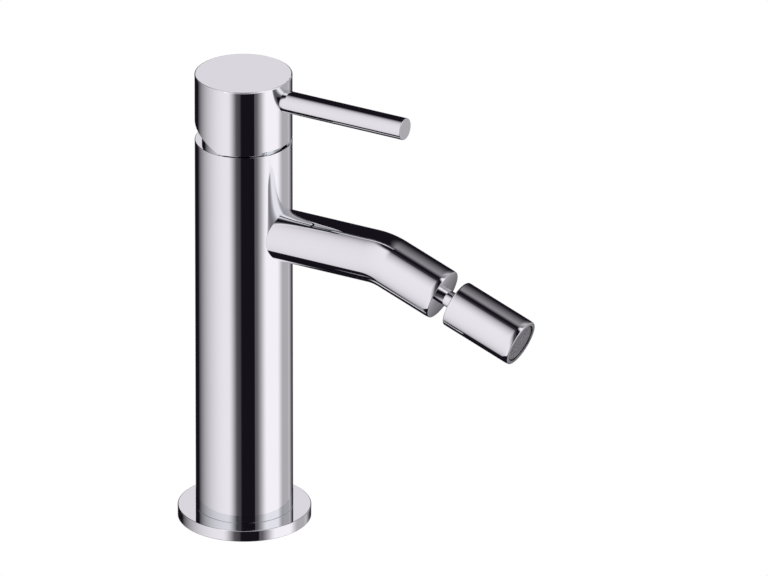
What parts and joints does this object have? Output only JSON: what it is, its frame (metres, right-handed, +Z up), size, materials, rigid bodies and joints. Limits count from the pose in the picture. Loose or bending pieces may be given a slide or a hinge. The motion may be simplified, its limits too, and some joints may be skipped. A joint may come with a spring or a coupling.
{
  "type": "bidet mixer",
  "caption": "Slim round single-lever bidet mixer: a column on a round plate, a cap handle with a rod lever, and a bent spout with a ball-jointed nozzle.",
  "frame": {"origin": "centre of the base plate's underside, on the deck that the mixer stands on", "axes": "+Z up along the column, +X the way the spout and the lever point at rest"},
  "size_m": [0.141, 0.048, 0.1728],
  "materials": {
    "chrome": "polished chrome plate on brass",
    "brass": "turned brass",
    "steel": "fine brushed stainless steel",
    "rubber": "matt black rubber",
    "plastic": "matt moulded plastic",
    "dark_plastic": "matt dark moulded plastic",
    "ceramic": "lapped ceramic"
  },
  "bodies": {
    "body": {"base_plate": "chrome", "base_gasket": "rubber", "column_oring": "rubber", "body_column": "chrome", "spout_tube": "chrome", "spout_oring": "rubber", "ball_stud": "chrome", "stud_oring": "rubber", "cartridge_seals": "rubber", "cartridge_base": "plastic", "fixed_disc": "ceramic", "cartridge_housing": "plastic", "cartridge_nut": "brass", "dome_collar": "chrome"},
    "guide": {"stem_guide": "plastic", "pivot_pin": "steel"},
    "disc": {"moving_disc": "ceramic", "disc_carrier": "plastic"},
    "handle": {"spindle": "steel", "spindle_adaptor": "plastic", "handle_cap": "chrome", "grub_screw": "steel", "lever_rod": "chrome"},
    "ball_seat": {"rear_seat": "plastic"},
    "ball_seal": {"front_seal": "rubber"},
    "nozzle": {"nozzle_shell": "chrome", "seat_ring": "brass", "aerator_washer": "rubber", "jet_disc": "plastic", "aerator_housing": "dark_plastic", "aerator_mesh": "steel"}
  },
  "joints": [
    {"name": "temperature_turn", "type": "hinge", "parent": "body", "child": "guide", "pos_m": [0, 0, 0.1473], "axis": [0, 0, 1], "range_deg": [-45, 45]},
    {"name": "lever_lift", "type": "hinge", "parent": "guide", "child": "handle", "pos_m": [0, 0, 0.1473], "axis": [0, -1, 0], "range_deg": [0, 25]},
    {"name": "disc_slide", "type": "slide", "parent": "guide", "child": "disc", "axis": [1, 0, 0], "range_m": [0, 0.00405]},
    {"name": "nozzle_pitch", "type": "hinge", "parent": "body", "child": "ball_seat", "pos_m": [0.09378, 0, 0.10033], "axis": [0, 1, 0], "range_deg": [-15, 15]},
    {"name": "nozzle_yaw", "type": "hinge", "parent": "ball_seat", "child": "ball_seal", "pos_m": [0.09378, 0, 0.10033], "axis": [0.342, 0, 0.9397], "range_deg": [-15, 15]},
    {"name": "nozzle_spin", "type": "hinge", "parent": "ball_seal", "child": "nozzle", "pos_m": [0.09378, 0, 0.10033], "axis": [0.9397, 0, -0.342], "continuous": true}
  ],
  "couplings": [
    {"joint": "disc_slide", "follows": "lever_lift", "m_per_rad": 0.0092015}
  ]
}
